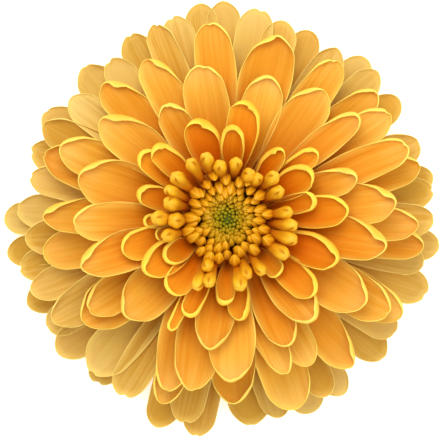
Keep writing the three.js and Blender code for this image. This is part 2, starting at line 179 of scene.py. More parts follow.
# 0 lowest to 1 uppermost: each petal lies one step above every longer petal that it overlaps
def stackPlaces(petals):
    step = {}
    for i in sorted(range(len(petals)), key=lambda k: -petals[k][1]):
        below = []
        for j in step:
            apart = abs((petals[i][0] - petals[j][0] + 540) % 360 - 180)
            width = (petals[i][2] + petals[j][2]) / 2
            if apart < np.degrees(width / (petals[i][1] * blade["overlapAt"])):
                below.append(step[j])
        step[i] = 1 + max(below) if below else 0
    most = max(step.values())
    return np.array([step[i] / most for i in range(len(petals))])


# radius, height and slope after a run x on two arcs, the blade and its hooded tip
def alongArcs(f, x):
    slope = f["rise"]
    r, z = f["root"]
    left = x
    for k, (length, turnKey) in enumerate(zip(f["arcs"], ("fall", "hood"))):
        run = np.minimum(left, length) if k == 0 else np.maximum(left, 0)
        bend = f[turnKey] / length
        following = slope + bend * run
        r = r + (np.sin(following) - np.sin(slope)) / bend
        z = z - (np.cos(following) - np.cos(slope)) / bend
        slope, left = following, left - run
    return r, z, slope


# the measures of every petal of a turn, as arrays that stand ahead of the grid's rows and columns: a mix
# of the turn's lowest and uppermost petals by the petal's place in the stack, and its own variety
def petalForms(turn):
    rows = np.array([(list(row) + [0, 0, 0])[:6] for row in turn["petals"]], float)
    azimuth, reach, width, side, lean, lift = [c[:, None, None] for c in rows.T]
    place = stackPlaces(turn["petals"])[:, None, None]
    number = np.arange(len(rows))[:, None, None]
    own = {key: vary(number, variety) for key, variety in petalVariety.items()}
    lower, upper = turn["lower"], turn["upper"]
    f = {key: mix(lower[key], upper[key], place) for key in ("rise", "fall", "hood")}
    f["rise"] = f["rise"] + lift
    f = {key: np.radians(value) for key, value in f.items()}
    for key in ("root", "channel", "roll"):
        f[key] = [mix(a, b, place) for a, b in zip(lower[key], upper[key])]
    span = reach - f["root"][0]
    f["fall"] = f["fall"] * (span / span.mean()) ** turn["arch"]  # longer petals pass under shorter ones
    f["channel"] = [np.radians(a) for a in f["channel"]]
    f["channel"][1] = f["channel"][1] * own["channel"]
    closing = np.where(side == 0, turn["quill"], 1) * own["closing"]
    roll, rollWidth = np.radians(f["roll"][0]) * closing, f["roll"][1] * width * own["rollWidth"]
    f["hood"] = f["hood"] * own["hood"]
    share, end = turn["hoodShare"], f["rise"] + f["fall"]
    bladeRun = (1 - share) * (np.sin(end) - np.sin(f["rise"])) / f["fall"]
    hoodRun = share * (np.sin(np.minimum(np.pi / 2, end + f["hood"])) - np.sin(end)) / f["hood"]
    sideRoll = turn["sideRoll"]
    sideLoss = rollWidth * sideRoll * (1 - np.sin(np.minimum(roll * sideRoll, quarterTurn)) / roll)
    tipLoss = rollWidth * (1 - np.sin(np.minimum(roll, quarterTurn)) / roll)
    f["roll"] = [roll, rollWidth]
    f["length"] = (reach - f["root"][0]) / (bladeRun + hoodRun) + tipLoss
    f["arcs"] = [f["length"] * (1 - share), f["length"] * share]
    f["width"] = width * f["channel"][1] / np.sin(f["channel"][1]) + 2 * sideLoss
    f["tipLength"] = np.minimum(turn["tipShape"] * f["width"], blade["longestTip"] * f["length"])
    f["notch"] = turn["notch"] * np.clip(own["notch"], 0, 1)
    f.update(azimuth=np.radians(azimuth), lean=np.radians(lean), side=side + own["side"])
    f["twist"] = np.radians(own["twist"])
    f.update(place=place, own=own, turn=turn, droop=np.zeros_like(place))
    if "restsAt" in turn:  # the lowest petals droop onto the table
        f["droop"] = np.where(place == 0, alongArcs(f, f["length"])[1] - turn["restsAt"], 0)
    return f


# half width of the flat petal at a run x: a narrow claw that widens along a quarter sine
def halfWidth(f, x):
    fullAt, late = blade["widens"]
    s = np.clip(x / (fullAt * f["length"]), 0, 1)
    return f["width"] / 2 * mix(f["turn"]["claw"], 1, np.sin(s * np.pi / 2) ** late)


# flat petal over the grid (u, v): straight rows up to the tip, then a square bent into half an ellipse
# that narrows to a blunt point and may be notched; each point comes with its distance from the margin
# and the way out to it
def flatPlaces(f, u, v):
    tipShare = blade["tipRows"]
    start, half = f["length"] - f["tipLength"], f["width"] / 2
    x = start * np.minimum(u / (1 - tipShare), 1)
    w = halfWidth(f, x)
    p = np.clip((u - 1 + tipShare) / tipShare, 0, 1)
    e0, e1 = p * np.sqrt(1 - v * v / 2), v * np.sqrt(1 - p * p / 2)
    level = np.hypot(e0, e1)
    g0, g1 = e0 / f["tipLength"], e1 / half
    steep = np.hypot(g0, g1) + 1e-9
    onTip = u > 1 - tipShare
    dent = f["notch"] * p * p * np.exp(-(((v - f["own"]["notchPlace"]) / blade["notchWidth"]) ** 2))
    margin = np.where(onTip, np.where(level > 1e-6, (1 - level) * level / steep, half), w * (1 - np.abs(v)))
    return (
        np.where(onTip, start + f["tipLength"] * e0 - dent, x + 0 * v),
        np.where(onTip, half * e1 * (1 - f["own"]["point"] * e0 * e0), v * w),
        np.minimum(margin, half),
        np.where(onTip, g0 / steep, 0),
        np.where(onTip, g1 / steep, np.sign(v)),
    )


# petal surface: the flat petal with its margin rolled up, most at the tip and towards north, bent into
# a channel along the arcs, with long folds that fade out at the margin
def petalSurface(f, u, v):
    turn, own = f["turn"], f["own"]
    x, y, margin, outX, outY = flatPlaces(f, u, v)
    along = np.clip(x / f["length"], 0, 1)
    north = outX * np.sin(f["azimuth"]) + outY * np.cos(f["azimuth"])
    lean = turn["north"] * (blade["northern"][0] + blade["northern"][1] * np.sin(f["azimuth"])) * north
    favour = (1 + f["side"] * outY * turn["sided"]) * (1 + lean)
    tipward = mix(turn["sideRoll"], 1, smoothstep(along, *blade["tipRolls"]))
    rollWidth = f["roll"][1] * tipward * mix(favour, 1, blade["evenRoll"])
    angle = np.minimum(f["roll"][0] * favour * tipward, np.radians(blade["mostRoll"]))
    angle = angle * np.clip(along * blade["rollGrows"], 0, 1)
    into = np.maximum(0, rollWidth - margin)
    radius = rollWidth / np.maximum(angle, 0.05)  # stays finite where the margin lies flat
    rolled = into / radius
    shift, lift = radius * np.sin(rolled) - into, radius * (1 - np.cos(rolled))
    fx, fy = x + outX * shift, y + outY * shift
    q = y / halfWidth(f, x)
    risen, faded = smoothstep(along, *blade["foldsRise"]), smoothstep(along, *blade["foldsFade"])
    fade = risen * (1 - faded) * (1 - q * q)
    depth, count = blade["ripples"]
    folds = np.hypot(q - own["crease"], blade["creaseWidth"]) * own["creaseDepth"]
    folds = folds + depth * np.cos(count * np.pi * q + own["ripplePhase"])
    folds = folds * turn["folds"] * f["width"] * fade
    r, z, slope = alongArcs(f, fx)
    s = np.clip(fx / f["length"], 0, 1)
    channel = mix(f["channel"][0], f["channel"][1], smoothstep(s, *blade["channelOpens"]))
    bend = channel / halfWidth(f, fx)
    azimuth = f["azimuth"] + f["lean"] * (1 - s) ** 2
    sideways = -2 * f["lean"] * (1 - s) / f["length"] * r
    radial = np.stack([np.cos(azimuth), np.sin(azimuth)], -1)
    sidelong = np.stack([-radial[..., 1], radial[..., 0]], -1)
    flat = np.cos(slope)[..., None] * radial + sideways[..., None] * sidelong
    tangent = np.concatenate([flat, np.sin(slope)[..., None]], -1)
    tangent /= np.linalg.norm(tangent, axis=-1, keepdims=True)
    across = np.stack([-flat[..., 1], flat[..., 0], np.zeros_like(slope)], -1)
    across /= np.linalg.norm(across, axis=-1, keepdims=True)
    across *= np.where(np.cos(slope) < 0, -1.0, 1.0)[..., None]
    up = np.cross(tangent, across)
    twist = (f["twist"] * s)[..., None]
    across, up = np.cos(twist) * across + np.sin(twist) * up, np.cos(twist) * up - np.sin(twist) * across
    turned = bend * fy
    waves, apart = blade["waves"]
    wave = turn["wave"] * np.sin(2 * np.pi * (waves * s + own["wavePhase"]) + apart * np.sign(q)) * q * q
    wave = wave * smoothstep(s, *blade["waveRises"])
    normal = np.cos(turned)[..., None] * up - np.sin(turned)[..., None] * across
    inSheet = np.cos(turned)[..., None] * across + np.sin(turned)[..., None] * up
    outward = outX[..., None] * tangent + outY[..., None] * inSheet
    points = np.concatenate([radial * r[..., None], (z - f["droop"] * s * s)[..., None]], -1)
    points = points + across * (np.sin(turned) / bend)[..., None]
    points = points + up * ((1 - np.cos(turned)) / bend + wave)[..., None]
    points = points + normal * (lift + folds)[..., None]
    facing = np.cos(rolled)[..., None] * normal - np.sin(rolled)[..., None] * outward
    return points, facing, margin, s


# all petals of a turn: each surface gets half the thickness to either side, less at its margin
def addPetals(name, turn, material, replaced, slot):
    rows, columns = turn["grid"]
    f = petalForms(turn)
    u = np.linspace(0, 1, rows)[None, :, None]
    v = np.sin(np.linspace(-np.pi / 2, np.pi / 2, columns))[None, None, :]
    points, facing, margin, s = petalSurface(f, u, v)
    rimShare, thinning = blade["rimThins"]
    half = turn["thickness"] / 2 * mix(rimShare, 1, smoothstep(margin, 0, thinning))[..., None]
    sheets = np.stack([points + facing * half, points - facing * half], 1)
    sheets[..., 2] = np.maximum(sheets[..., 2], blade["lowest"])
    both = np.ones((1, 2, 1, 1))
    shape = sheets.shape[:-1]
    values = {
        "along": s[:, None] * both,
        "across": (v * np.ones_like(s))[:, None] * both,
        "margin": margin[:, None] * both,
        "reverse": np.broadcast_to(np.array([0.0, 1.0])[None, :, None, None], shape),
        "petal": np.broadcast_to(f["own"]["petal"][:, None], shape),
        "tone": np.broadcast_to(f["own"]["tone"][:, None], shape),
        "place": np.broadcast_to(f["place"][:, None], shape),
    }
    quads = bladeQuads(len(points), rows, columns)
    addPiece(name, sheets.reshape(-1, 3), quads, values, material, replaced, slot)


# one node with its settings and links, and its output: a setting is the value of a socket, a property or
# the stops of a colour ramp, and a link is another node's output. The colours of a Mix node are its
# sockets 6 and 7, and its mixed colour is output 2.
def addNode(tree, kind, settings, links, output=0):
    node = tree.nodes.new("ShaderNode" + kind)
    for name, value in settings.items():
        if name == "stops":
            elements = node.color_ramp.elements
            for k, (position, colour) in enumerate(value):
                element = elements[k] if k < 2 else elements.new(position)
                element.position, element.color = position, linear(colour)
        elif isinstance(name, int) or name in node.inputs:
            node.inputs[name].default_value = linear(value) if isinstance(value, str) else value
        else:
            setattr(node, name, value)
    for name, source in links.items():
        tree.links.new(source, node.inputs[name])
    return node.outputs[output] if len(node.outputs) else node


# empty material, addNode for its tree, and readers for the values that its piece holds at its points
def startMaterial(name, keys):
    material = bpy.data.materials.new(name)
    material.use_nodes = True
    material.node_tree.nodes.clear()
    add = partial(addNode, material.node_tree)
    read = {key: add("Attribute", {"attribute_name": key}, {}, "Fac") for key in keys}
    return material, add, read


# living tissue: a waxy skin over cells that let part of the light through
def finishTissue(add, colour, bump, through, skin):
    surface = add("BsdfPrincipled", skin, {"Base Color": colour, "Normal": bump})
    lit = add("BsdfTranslucent", {}, {"Color": colour})
    both = add("MixShader", {"Fac": through}, {1: surface, 2: lit})
    add("OutputMaterial", {}, {"Surface": both})


# what the tissue of all petals shares. Streaks are noise cells, long along the petal; a step takes each
# petal to cells of its own. The wash and the rim line reach this many mm in from the margin.
petalFinish = {
    "streakLength": 1.6, "petalStep": 37.0, "noiseRange": (0.3, 0.7), "streaks": 0.75, "warmth": 0.35,
    "lowPlaces": 0.8, "rimGrows": (0.45, 0.9), "washReach": 2.4, "edgeReach": 0.75,
    "edgeGrows": (0.1, 0.6), "edgeAtClaw": 0.2, "relief": {"Strength": 0.2, "Distance": 0.25 * mm},
    "through": 0.22, "skin": {"Roughness": 0.6, "IOR": 1.42, "Specular IOR Level": 0.1},
}


# petal: the face is orange, deeper towards the claw and streaked along its veins, and on petals low in the
# stack it is mixed towards a darker, duller colour as painted shade. The reverse and the turned margin are
# yellow, which draws each petal's outline for the eye, and the pale line along the margin, strongest at the
# tip, is partly that yellow and partly a painted highlight where the turned margin catches the light.
# "veins" is the number of noise cells from midline to margin: 7 in about 5 mm, as the veins of a petal lie
# about 0.7 mm apart.
def petalTissue(name, look):
    keys = ("along", "across", "margin", "reverse", "petal", "tone", "place")
    material, add, read = startMaterial(name, keys)
    finish = petalFinish
    cell = add("CombineXYZ", {}, {
        0: add("Math", {"operation": "MULTIPLY", 1: look["veins"]}, {0: read["across"]}),
        1: add("Math", {"operation": "MULTIPLY", 1: finish["streakLength"]}, {0: read["along"]}),
        2: add("Math", {"operation": "MULTIPLY", 1: finish["petalStep"]}, {0: read["petal"]}),
    })
    noise = add("TexNoise", {"Scale": 1.0, "Detail": 4.0, "Roughness": 0.6}, {"Vector": cell})
    low, high = finish["noiseRange"]
    streaks = add("MapRange", {"From Min": low, "From Max": high}, {"Value": noise})
    low, high = look["tones"]
    pale = add("Math", {"operation": "ADD"}, {
        0: add("Math", {"operation": "MULTIPLY", 1: finish["streaks"]}, {0: streaks}),
        1: add("MapRange", {"To Min": low, "To Max": high}, {"Value": read["tone"]}),
    })
    sheet = add("Mix", {"data_type": "RGBA"}, {
        0: pale,
        6: add("ValToRGB", {"stops": look["face"]}, {"Fac": read["along"]}),
        7: add("ValToRGB", {"stops": look["paleFace"]}, {"Fac": read["along"]}),
    }, 2)
    warmth = add("MapRange", {"To Max": finish["warmth"]}, {"Value": read["petal"]})
    sheet = add("Mix", {"data_type": "RGBA", 7: look["warmer"]}, {0: warmth, 6: sheet}, 2)
    # painted shade: petals low in the stack lie in shade under the ones above, so their colour is mixed
    # towards the duller lowest colour
    span = {"From Max": finish["lowPlaces"], "To Min": look["lowShade"], "To Max": 0}
    shade = add("MapRange", span, {"Value": read["place"]})
    sheet = add("Mix", {"data_type": "RGBA", 7: look["lowest"]}, {0: shade, 6: sheet}, 2)
    span = {"From Max": finish["washReach"], "To Min": look["wash"], "To Max": 0}
    wash = add("Math", {"operation": "MULTIPLY"}, {
        0: add("MapRange", span, {"Value": read["margin"]}),
        1: read["along"],
    })
    # partly yellow margin and partly painted highlight: a thin pale line along the face's margin that grows
    # towards the tip
    span = {"From Max": finish["edgeReach"], "To Min": look["edge"], "To Max": 0}
    low, high = finish["edgeGrows"]
    growing = {"From Min": low, "From Max": high, "To Min": finish["edgeAtClaw"]}
    edge = add("Math", {"operation": "MULTIPLY"}, {
        0: add("MapRange", span, {"Value": read["margin"]}),
        1: add("MapRange", growing, {"Value": read["along"]}),
    })
    paleMarginAndHighlight = add("Math", {"operation": "MAXIMUM"}, {0: wash, 1: edge})
    face = add("Mix", {"data_type": "RGBA", 7: look["rim"]}, {0: paleMarginAndHighlight, 6: sheet}, 2)
    # on the reverse, the rim colour near the margin is partly the yellow tissue and partly a painted
    # highlight, strongest towards the tip
    low, high = finish["rimGrows"]
    growing = {"From Min": low, "From Max": high, "To Min": look["sideRim"]}
    span = {"From Max": look["rimWidth"], "To Min": 1, "To Max": 0}
    rim = add("Math", {"operation": "MULTIPLY"}, {
        0: add("MapRange", span, {"Value": read["margin"]}),
        1: add("MapRange", growing, {"Value": read["along"]}),
    })
    reverse = add("ValToRGB", {"stops": look["reverse"]}, {"Fac": read["along"]})
    reverse = add("Mix", {"data_type": "RGBA", 7: look["rim"]}, {0: rim, 6: reverse}, 2)
    sheet = add("Mix", {"data_type": "RGBA"}, {0: read["reverse"], 6: face, 7: reverse}, 2)
    bump = add("Bump", finish["relief"], {"Height": streaks})
    finishTissue(add, sheet, bump, finish["through"], finish["skin"])
    return material


# in a turn, root: radius and height where the blade leaves the collar; rise, fall, hood: slope at the
# root and its change along the blade and along the tip; channel: half angle of the cross-section at the
# root and further out; roll: angle of the turned-in margin and its share of the width. Angles are in
# degrees. The claw, hood and tip are shares of the width or length, and folds, wave and notch are depths.
innerTurn = {
    "petals": innerPetals,
    "lower": {
        "root": [10.3, 22.7], "rise": 48, "fall": -34, "hood": 65, "channel": [75, 46], "roll": [125, 0.26],
    },
    "upper": {
        "root": [9.9, 24.2], "rise": 54, "fall": -28, "hood": 80, "channel": [80, 56], "roll": [140, 0.28],
    },
    "claw": 0.17, "arch": 0.8, "hoodShare": 0.2, "tipShape": 0.6, "sideRoll": 0.6, "sided": 0.8,
    "north": 0.5, "quill": 1.3, "notch": 0.3, "folds": 0.02, "wave": 0.15, "thickness": 0.34,
    "grid": (40, 25),
}
innerTissue = {
    "face": [(0, "#CE4C00"), (0.45, "#D86800"), (0.8, "#DE8608"), (1, "#E6A01C")],
    "paleFace": [(0, "#DA5C00"), (0.45, "#E48006"), (0.8, "#EAA222"), (1, "#F2BC40")],
    "reverse": [(0, "#D67A0C"), (0.5, "#E49818"), (0.8, "#F0B028"), (1, "#F6C034")],
    "warmer": "#D26204", "lowest": "#D06A0A", "lowShade": 0.1, "tones": (-0.35, 0.75), "rim": "#FFE656",
    "rimWidth": 2.0, "sideRim": 0.5, "wash": 0.5, "edge": 0.7, "veins": 6.0,
}
addPetals("innerPetals", innerTurn, petalTissue("petal tissue, inner", innerTissue),
          "inner_ray_florets", "inner_petal")

middleTurn = {
    "petals": middlePetals,
    "lower": {
        "root": [10.6, 17.7], "rise": 21, "fall": -41, "hood": 34, "channel": [60, 36], "roll": [105, 0.2],
    },
    "upper": {
        "root": [10, 20.5], "rise": 37, "fall": -39, "hood": 46, "channel": [60, 44], "roll": [120, 0.22],
    },
    "claw": 0.2, "arch": 1.2, "hoodShare": 0.19, "tipShape": 0.64, "sideRoll": 0.2, "sided": 0.8,
    "north": 0.4, "quill": 1, "notch": 0.6, "folds": 0.035, "wave": 0.35, "thickness": 0.32,
    "grid": (34, 21),
}
middleTissue = {
    "face": [(0, "#CC5A00"), (0.4, "#D67200"), (0.75, "#DC901C"), (1, "#E6B240")],
    "paleFace": [(0, "#DA6E00"), (0.4, "#E49212"), (0.75, "#EEBA46"), (1, "#F6D87C")],
    "reverse": [(0, "#D47C0C"), (0.5, "#E29A24"), (0.85, "#F2C040"), (1, "#FAD658")],
    "warmer": "#E07C14", "lowest": "#DA9A2A", "lowShade": 0.3, "tones": (-0.35, 0.5), "rim": "#FFE76C",
    "rimWidth": 1.2, "sideRim": 0.4, "wash": 0.5, "edge": 0.9, "veins": 7.0,
}
addPetals("middlePetals", middleTurn, petalTissue("petal tissue, middle", middleTissue),
          "middle_ray_florets", "middle_petal")

outerTurn = {
    "petals": outerPetals,
    "lower": {
        "root": [11.8, 13.6], "rise": 4, "fall": -36, "hood": 14, "channel": [55, 30], "roll": [62, 0.16],
    },
    "upper": {
        "root": [11.4, 16.2], "rise": 13, "fall": -36, "hood": 26, "channel": [55, 36], "roll": [76, 0.17],
    },
    "claw": 0.2, "arch": 1, "hoodShare": 0.17, "tipShape": 0.64, "sideRoll": 0.2, "sided": 0.8,
    "north": 0.4, "quill": 1, "notch": 0.8, "folds": 0.045, "wave": 0.5, "thickness": 0.3,
    "grid": (28, 17), "restsAt": -0.3,
}
outerTissue = {
    "face": [(0, "#BC6404"), (0.4, "#CE8A1A"), (0.8, "#CA9630"), (1, "#CEA442")],
    "paleFace": [(0, "#CC8420"), (0.4, "#E2AE48"), (0.8, "#E6C46A"), (1, "#E6CE84")],
    "reverse": [(0, "#CE881C"), (0.5, "#DEA83E"), (0.85, "#EEC65C"), (1, "#F6DA78")],
    "warmer": "#DC9A32", "lowest": "#CA9C3A", "lowShade": 0.4, "tones": (-0.6, 1.0), "rim": "#FCE27C",
    "rimWidth": 1.0, "sideRim": 0.4, "wash": 0.5, "edge": 0.9, "veins": 7.0,
}
addPetals("outerPetals", outerTurn, petalTissue("petal tissue, outer", outerTissue),
          "outer_ray_florets", "outer_petal")


# closed surface from a profile of radius and height turned about the axis, with upright ribs; the
# profile's corners are rounded by sampling it at even steps and easing between neighbours
def addTurned(name, shape, material, replaced, slot):
    profile = np.array(shape["profile"], float)
    steps = np.r_[0, np.cumsum(np.linalg.norm(np.diff(profile, axis=0), axis=1))]
    at = np.linspace(0, steps[-1], shape["grid"][0])
    r, z = [np.interp(at, steps, profile[:, k]) for k in (0, 1)]
    for _ in range(shape["eased"]):
        r[1:-1], z[1:-1] = [(c[:-2] + 2 * c[1:-1] + c[2:]) / 4 for c in (r, z)]
    angle = np.arange(shape["grid"][1]) * 2 * np.pi / shape["grid"][1]
    count, depth, low, high = shape["ribs"]
    ribbed = (smoothstep(z, low - 1, low) * (1 - smoothstep(z, high, high + 1)))[:, None]
    radius = r[:, None] * (1 + depth * np.cos(count * angle)[None] * ribbed)
    points = np.stack([radius * np.cos(angle), radius * np.sin(angle), z[:, None] + 0 * radius], -1)
    ring = np.arange(points.shape[0] * points.shape[1]).reshape(points.shape[:2])
    following = np.roll(ring, -1, 1)
    quads = np.stack([ring[:-1], following[:-1], following[1:], ring[1:]], -1).reshape(-1, 4)
    if shape.get("closed"):
        quads = np.concatenate([quads, np.stack([ring[-1], following[-1], following[0], ring[0]], -1)])
    values = {
        "along": np.broadcast_to((at / at[-1])[:, None], radius.shape),
        "rib": np.broadcast_to((1 + np.cos(count * angle)) / 2, radius.shape),
    }
    addPiece(name, points.reshape(-1, 3), quads, values, material, replaced, slot)


# what the green and ground skins share: how far ribs and specks show, and where the noise turns to specks
greenFinish = {
    "ribs": 0.4, "specks": 0.5, "noiseRange": (0.4, 0.7), "relief": {"Strength": 0.3, "Distance": 0.2 * mm},
    "through": 0.08,
    "skin": {"Roughness": 0.6, "IOR": 1.42, "Sheen Roughness": 0.4, "Specular IOR Level": 0.2},
}


# green skin: matt, fuzzy with very short hair, paler on its ribs; the eye reads it as a fresh stem. The
# grain is the size in mm of its cells, drawn larger than real ones so that they show.
def greenSkin(name, look):
    material, add, read = startMaterial(name, ("along", "rib"))
    finish = greenFinish
    place = add("TexCoord", {}, {}, "Object")
    grain = add("TexNoise", {"Scale": 1 / (look["grain"] * mm), "Detail": 4.0}, {"Vector": place})
    colour = add("ValToRGB", {"stops": look["along"]}, {"Fac": read["along"]})
    ribs = add("MapRange", {"To Max": finish["ribs"]}, {"Value": read["rib"]})
    colour = add("Mix", {"data_type": "RGBA", 7: look["rib"]}, {0: ribs, 6: colour}, 2)
    low, high = finish["noiseRange"]
    span = {"From Min": low, "From Max": high, "To Max": finish["specks"]}
    specks = add("MapRange", span, {"Value": grain})
    colour = add("Mix", {"data_type": "RGBA", 7: look["speck"]}, {0: specks, 6: colour}, 2)
    bump = add("Bump", finish["relief"], {"Height": grain})
    finishTissue(add, colour, bump, finish["through"], {**finish["skin"], "Sheen Weight": look["fuzz"]})
    return material


stem = {
    "profile": [
        [0, 0.02], [2.8, 0.02], [3, 0.3], [3, 8], [6.4, 12.4],
        [6.4, 20.5], [4.9, 21.3], [4.9, 24.8], [0, 24.8],
    ],
    "grid": (80, 72), "eased": 2, "ribs": (9, 0.05, 0.6, 8.5),
}
stemSkin = greenSkin("stem skin, ribbed green", {
    "along": [(0, "#B8C48A"), (0.06, "#8FAE5A"), (0.4, "#6F8F3A"), (1, "#8FA04A")],
    "rib": "#8CA852", "speck": "#5C7A30", "grain": 2 / 3, "fuzz": 0.3,
})
addTurned("stem", stem, stemSkin, "stem_and_receptacle", "stem")

cup = {
    "profile": [
        [3.45, 8.4], [3.6, 7.9], [4.6, 7.6], [10.6, 10.6], [11.8, 12.2], [11.6, 12.55], [6.9, 12.55],
    ],
    "grid": (40, 88), "eased": 1, "ribs": (11, 0.02, 8, 12), "closed": True,
}
bractSkin = greenSkin("bract skin, matt green", {
    "along": [(0, "#6F8F3A"), (0.5, "#5F8232"), (1, "#7A9440")],
    "rib": "#86A04C", "speck": "#4E6E28", "grain": 5 / 9, "fuzz": 0.3,
})
addTurned("involucreCup", cup, bractSkin, "involucre", "bract")


# bracts: ovate blades in rows that lap each other, each bent along an arc, cupped and keeled
def addBracts(name, bracts, material, replaced, slot):
    rows, columns = bracts["grid"]
    count = bracts["perRow"] * bracts["rows"]
    k = np.arange(count)[:, None, None]
    row = k // bracts["perRow"]
    t = row / (bracts["rows"] - 1)
    azimuth = 2 * np.pi * (k % bracts["perRow"] + row / 2 + vary(k, bracts["stray"])) / bracts["perRow"]
    u = np.linspace(0, 1, rows)[None, :, None]
    v = np.sin(np.linspace(-np.pi / 2, np.pi / 2, columns))[None, None, :]
    length = mix(*bracts["length"], t)
    rise = np.radians(mix(*bracts["rise"], t))
    bend = np.radians(bracts["turn"]) / length
    slope = rise + bend * u * length
    r = mix(*bracts["rootRadius"], t) + (np.sin(slope) - np.sin(rise)) / bend
    z = mix(*bracts["rootHeight"], t) - (np.cos(slope) - np.cos(rise)) / bend
    low, span, fullness = bracts["ovate"]
    half = bracts["width"] / 2 * np.sin(np.pi * np.clip(low + span * u, 0, 1)) ** fullness
    y = half * v
    lift = bracts["cup"] * (y / (bracts["width"] / 2)) ** 2
    lift = lift - bracts["keel"] * np.exp(-((v / bracts["keelWidth"]) ** 2))
    radial = np.stack([np.cos(azimuth), np.sin(azimuth), 0 * azimuth], -1)
    across = np.stack([-np.sin(azimuth), np.cos(azimuth), 0 * azimuth], -1)
    up = -np.sin(slope)[..., None] * radial + np.cos(slope)[..., None] * np.array([0, 0, 1.0])
    middle = radial * r[..., None] + z[..., None] * np.array([0, 0, 1.0]) + across * y[..., None]
    middle = middle + up * lift[..., None]
    thick = bracts["thickness"] / 2 * mix(bracts["rimShare"], 1, 1 - v**4)[..., None] * up
    sheets = np.stack([middle + thick, middle - thick], 1)
    shape = sheets.shape[:-1]
    values = {
        "along": np.broadcast_to(u[:, None], shape),
        "rib": np.broadcast_to(np.exp(-((v / bracts["midrib"]) ** 2))[:, None], shape),
    }
    quads = bladeQuads(count, rows, columns)
    addPiece(name, sheets.reshape(-1, 3), quads, values, material, replaced, slot)


bracts = {
    "perRow": 11, "rows": 2, "rootRadius": (8.6, 5.4), "rootHeight": (10.3, 8.7), "rise": (8, 20),
    "length": (7.4, 6.4), "turn": 12, "width": 5, "ovate": (0.18, 0.8, 0.8), "cup": 0.5, "keel": 0.18,
    "keelWidth": 0.12, "midrib": 0.2, "thickness": 0.5, "rimShare": 0.3, "stray": (21, -0.06, 0.06),
    "grid": (14, 11),
}
addBracts("involucreBracts", bracts, bractSkin, "involucre", "bract")

# the claws' bases, pressed together into a ribbed ring for each turn, with a thin skirt out to where the
# petals themselves close the gaps; ring: radii and heights; skirt: how far out it reaches and how high
clawSkin = greenSkin("claw tissue, pale orange", {
    "along": [(0, "#DCA440"), (0.5, "#E89420"), (1, "#E2820E")],
    "rib": "#F2AC3C", "speck": "#D87810", "grain": 10 / 9, "fuzz": 0,
})
clawRings = {
    "innerClaws": {"ring": (5.4, 10.6, 21.6, 24.8), "skirt": (13.6, 23.4), "claws": 24,
                   "node": "inner_ray_florets", "slot": "inner_petal"},
    "middleClaws": {"ring": (6.85, 11, 17.2, 21.2), "skirt": (17, 18.9), "claws": 45,
                    "node": "middle_ray_florets", "slot": "middle_petal"},
    "outerClaws": {"ring": (6.85, 12.2, 12.9, 16.8), "skirt": (12.6, 13), "claws": 49,
                   "node": "outer_ray_florets", "slot": "outer_petal"},
}
clawShape = {"waist": 0.45, "skirtThickness": 0.35, "ribDepth": 0.018, "grid": (65, 196)}
for name, claws in clawRings.items():
    (inner, outer, low, high), (reach, level) = claws["ring"], claws["skirt"]
    ring = {
        "profile": [
            [inner, low], [outer, low], [reach, level], [reach, level + clawShape["skirtThickness"]],
            [outer, mix(low, high, clawShape["waist"])], [outer, high], [inner, high], [inner, low],
        ],
        "grid": clawShape["grid"], "eased": 1,
        "ribs": (claws["claws"], clawShape["ribDepth"], low - 1, high + 1),
    }
    addTurned(name, ring, clawSkin, claws["node"], claws["slot"])


# what all buds share: how many lobes their free ends have, and the shares of the length where the lobes,
# and the seams between them, start and are complete
budLobes = {"count": 5, "lobesRise": (0.4, 0.7), "seamsRise": (0.4, 0.75), "seamSharpness": 3}


